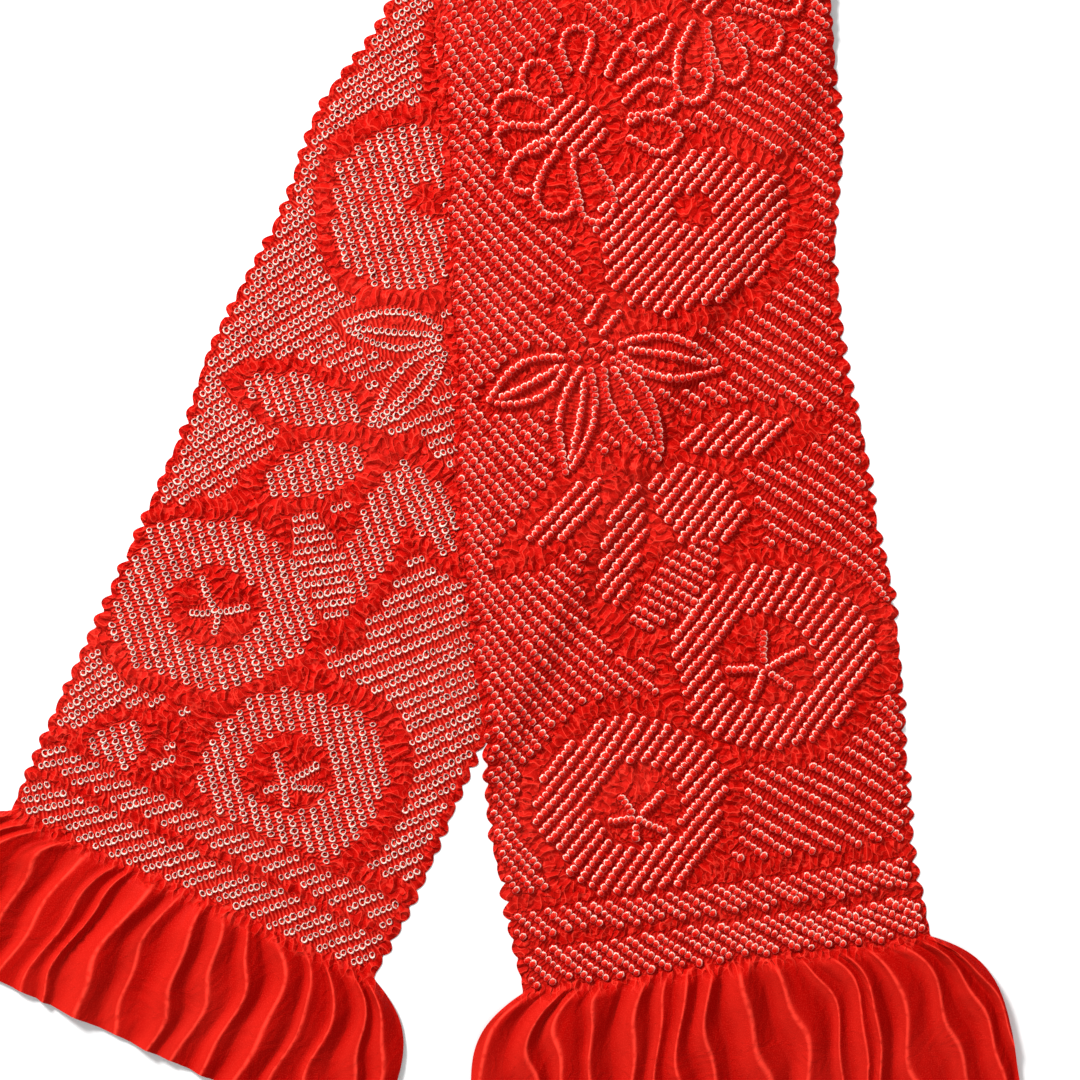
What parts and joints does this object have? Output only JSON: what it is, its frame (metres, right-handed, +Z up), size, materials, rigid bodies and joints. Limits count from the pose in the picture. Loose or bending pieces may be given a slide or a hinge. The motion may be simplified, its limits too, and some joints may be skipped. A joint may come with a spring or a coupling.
{
  "type": "folded shibori obiage",
  "caption": "Silk obiage dyed all over with small tied points, a puckered band folded in half with its two plain flared ends spread apart, lying flat.",
  "frame": {"origin": "centre of the bounding box in plan, on the surface the cloth lies on", "axes": "+Y towards the fold along the cloth's length, +Z up out of the upper face"},
  "size_m": [0.5018, 0.7752, 0.0124],
  "materials": {
    "silk": "red silk crepe with a soft sheen, puckered by tied points with cream rings"
  },
  "bodies": {
    "root": {"obiage_cloth": "silk"}
  },
  "joints": []
}
